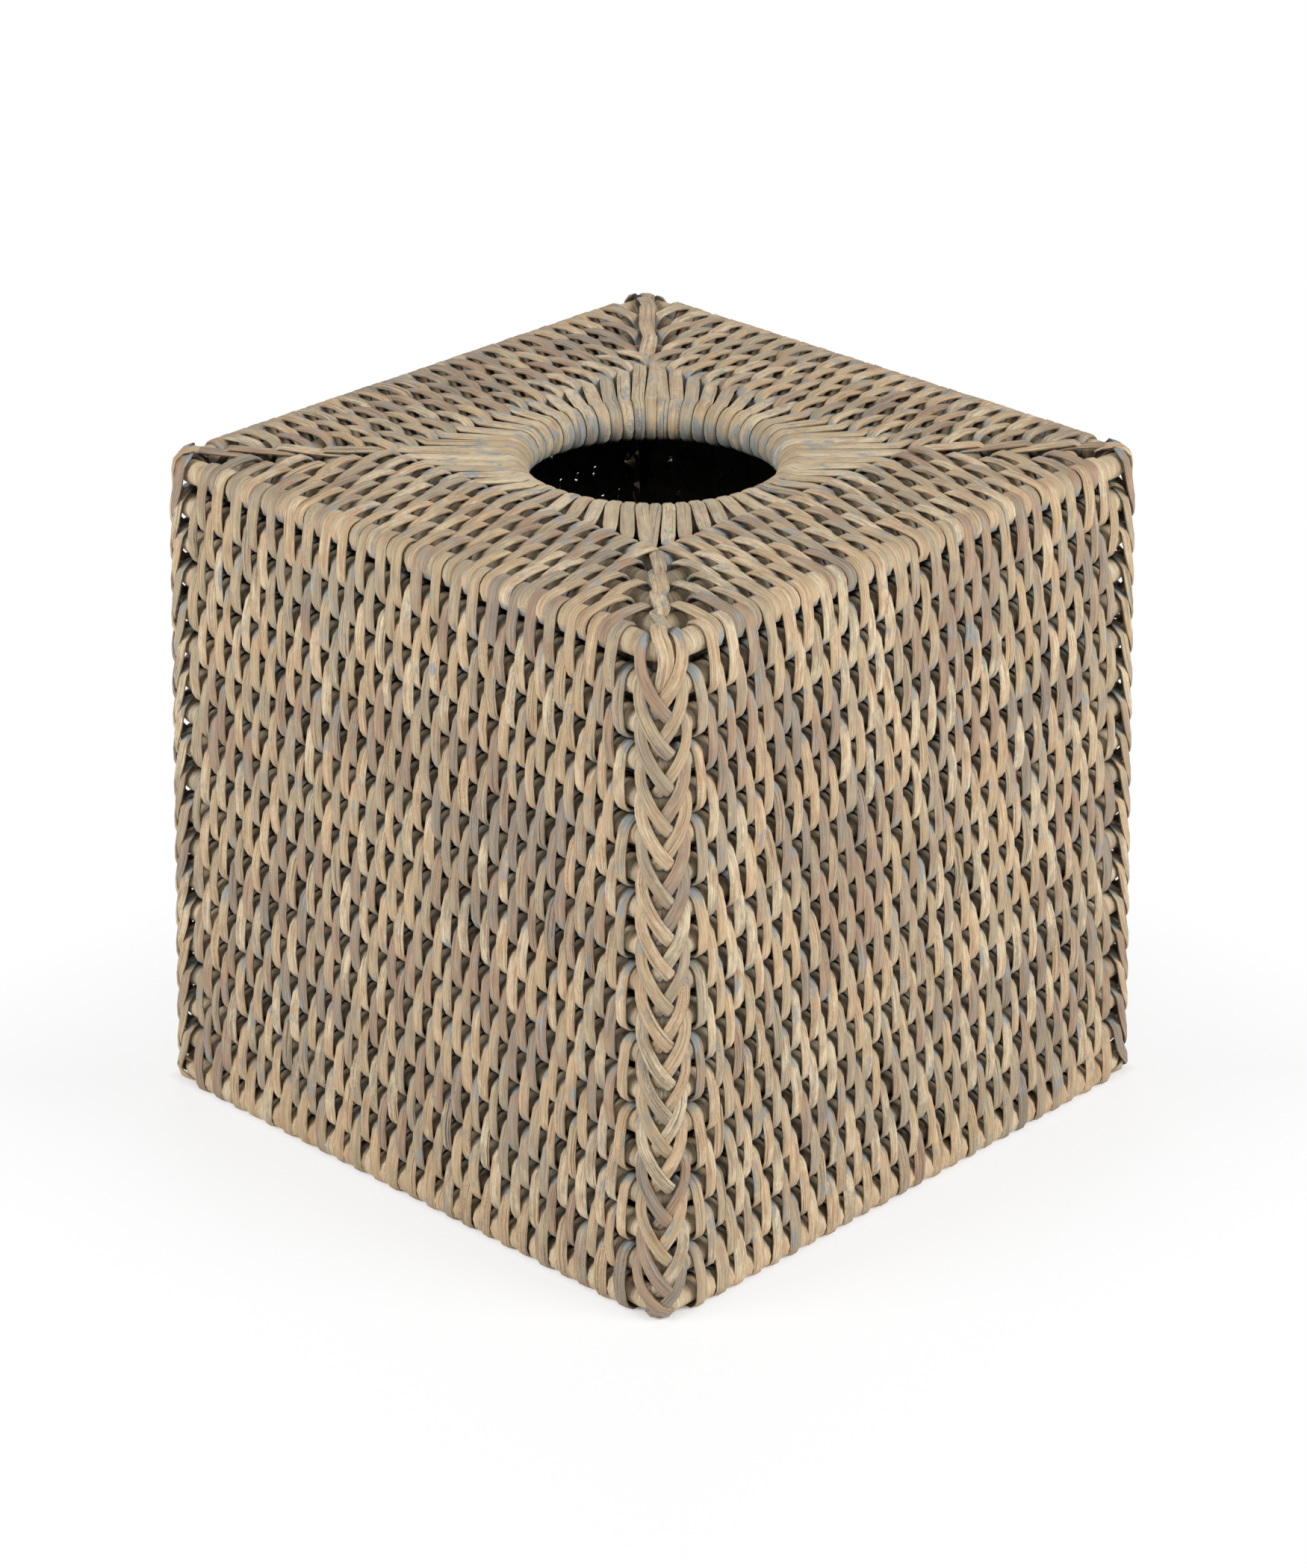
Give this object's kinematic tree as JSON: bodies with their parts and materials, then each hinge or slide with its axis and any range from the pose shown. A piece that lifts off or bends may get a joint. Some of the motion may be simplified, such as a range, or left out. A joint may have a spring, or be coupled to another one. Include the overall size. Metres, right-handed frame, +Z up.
{
  "type": "tissue box cover",
  "caption": "Square woven rattan cover, open below, that drops over a cube tissue box; tissues are drawn through a round wrapped opening in its top.",
  "frame": {"origin": "on the floor, below the centre of the opening", "axes": "+Z up; the four walls face -Y (front), +X (right), +Y (back) and -X (left)"},
  "size_m": [0.149, 0.149, 0.1451],
  "materials": {
    "cane": "bare peeled rattan cane, fibrous, weathered",
    "strand": "flat split rattan, dry, limewashed grey-blue in the dips",
    "rim_strand": "flat split rattan, peach tan, rubbed under the rim",
    "opening_strap": "flat split rattan, pale, limewashed at the strap ends",
    "corner_strap": "wide split rattan, dry, limewashed and rubbed"
  },
  "bodies": {
    "root": {"top_edge_cane": "cane", "bottom_rim_cane": "cane", "top_cane_1": "cane", "top_cane_2": "cane", "top_cane_3": "cane", "top_cane_4": "cane", "wall_cane_01": "cane", "wall_cane_02": "cane", "wall_cane_03": "cane", "wall_cane_04": "cane", "wall_cane_05": "cane", "wall_cane_06": "cane", "wall_cane_07": "cane", "wall_cane_08": "cane", "wall_cane_09": "cane", "wall_cane_10": "cane", "wall_cane_11": "cane", "wall_cane_12": "cane", "wall_cane_13": "cane", "wall_cane_14": "cane", "wall_cane_15": "cane", "wall_cane_16": "cane", "wall_cane_17": "cane", "opening_hoop": "cane", "top_lacing_front": "strand", "top_lacing_right": "strand", "top_lacing_back": "strand", "top_lacing_left": "strand", "wall_lacing_front": "strand", "wall_lacing_right": "strand", "wall_lacing_back": "strand", "wall_lacing_left": "strand", "rim_wraps_front": "rim_strand", "rim_wraps_right": "rim_strand", "rim_wraps_back": "rim_strand", "rim_wraps_left": "rim_strand", "opening_wrap_front": "opening_strap", "opening_wrap_right": "opening_strap", "opening_wrap_back": "opening_strap", "opening_wrap_left": "opening_strap", "corner_braid_front_left": "corner_strap", "corner_braid_front_right": "corner_strap", "corner_braid_back_right": "corner_strap", "corner_braid_back_left": "corner_strap", "mitre_straps_front_left": "corner_strap", "mitre_straps_front_right": "corner_strap", "mitre_straps_back_right": "corner_strap", "mitre_straps_back_left": "corner_strap"}
  },
  "joints": []
}
